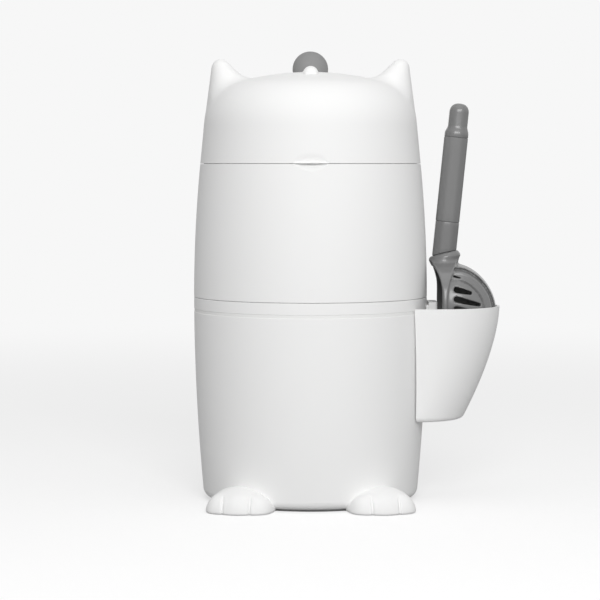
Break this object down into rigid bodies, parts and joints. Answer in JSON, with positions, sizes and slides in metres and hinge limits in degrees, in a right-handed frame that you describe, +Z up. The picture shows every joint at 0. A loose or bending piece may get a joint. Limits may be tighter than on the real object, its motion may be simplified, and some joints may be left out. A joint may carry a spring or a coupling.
{
  "type": "litter disposal pail",
  "caption": "Bowed cat-shaped litter disposal pail with eared lid, turning cap, tilting upper housing with film cassette, paws, and a slotted scoop in a side holder.",
  "frame": {"origin": "on the floor at the pail's axis", "axes": "+Z up, the paws and the finger lip face -Y, the scoop holder hangs at +X"},
  "size_m": [0.3047, 0.2508, 0.446],
  "materials": {
    "white_shell": "satin moulded white plastic",
    "white_trim": "satin white trim",
    "inner_white": "plain moulded inner parts",
    "cassette": "light gray moulded refill",
    "film": "packed thin film",
    "gripper": "soft fingers",
    "rubber": "matt rubber",
    "gray_knob": "satin gray",
    "gray_scoop": "semi-gloss dark gray",
    "gray_grip": "satin dark gray",
    "steel": "plain steel"
  },
  "bodies": {
    "pail": {"pail_shell": "white_shell", "foot_ring": "rubber", "left_paw": "white_shell", "right_paw": "white_shell", "paw_screws": "steel", "seal_strip": "white_trim", "collar_ring": "white_shell", "tilt_hinge_pin": "steel", "holder_bracket": "white_shell", "bracket_screws": "steel"},
    "upper_housing": {"upper_shell": "white_shell", "cassette_deck": "inner_white", "cassette_shell": "cassette", "film_pack": "film", "gripper_ring": "gripper", "rim_seal": "rubber", "lid_hinge_pin": "steel", "cutter_housing": "cassette", "cutter_blade": "steel"},
    "lid": {"lid_shell": "white_shell"},
    "turning_cap": {"rotary_cap": "white_shell", "cap_retainer": "inner_white", "tail_grip": "white_shell", "tail_ball": "gray_knob", "drive_hub": "inner_white", "hub_screws": "steel", "drive_disc": "inner_white"},
    "twist_ring": {"twist_ring": "cassette"},
    "scoop_holder": {"scoop_holder": "white_shell"},
    "scoop": {"scoop_basket": "gray_scoop", "scoop_guard": "gray_scoop", "handle_core": "gray_scoop", "lower_sleeve": "gray_scoop", "grip_sleeve": "gray_grip", "end_cap": "gray_scoop"}
  },
  "joints": [
    {"name": "upper_tilt", "type": "hinge", "parent": "pail", "child": "upper_housing", "pos_m": [0, 0.1222, 0.2013], "axis": [-1, 0, 0], "range_deg": [0, 95]},
    {"name": "lid_open", "type": "hinge", "parent": "upper_housing", "child": "lid", "pos_m": [0, 0.1157, 0.3332], "axis": [-1, 0, 0], "range_deg": [0, 95]},
    {"name": "cap_turn", "type": "hinge", "parent": "lid", "child": "turning_cap", "pos_m": [0, 0, 0.424], "axis": [0, 0, 1], "continuous": true},
    {"name": "ring_turn", "type": "hinge", "parent": "upper_housing", "child": "twist_ring", "pos_m": [0, 0, 0.329], "axis": [0, 0, 1], "continuous": true},
    {"name": "holder_lift", "type": "slide", "parent": "pail", "child": "scoop_holder", "axis": [0, 0, 1], "range_m": [0, 0.016]},
    {"name": "scoop_lift", "type": "slide", "parent": "scoop_holder", "child": "scoop", "axis": [0, 0, 1], "range_m": [0, 0.12]}
  ],
  "couplings": [
    {"joint": "ring_turn", "follows": "cap_turn", "ratio": 1}
  ]
}
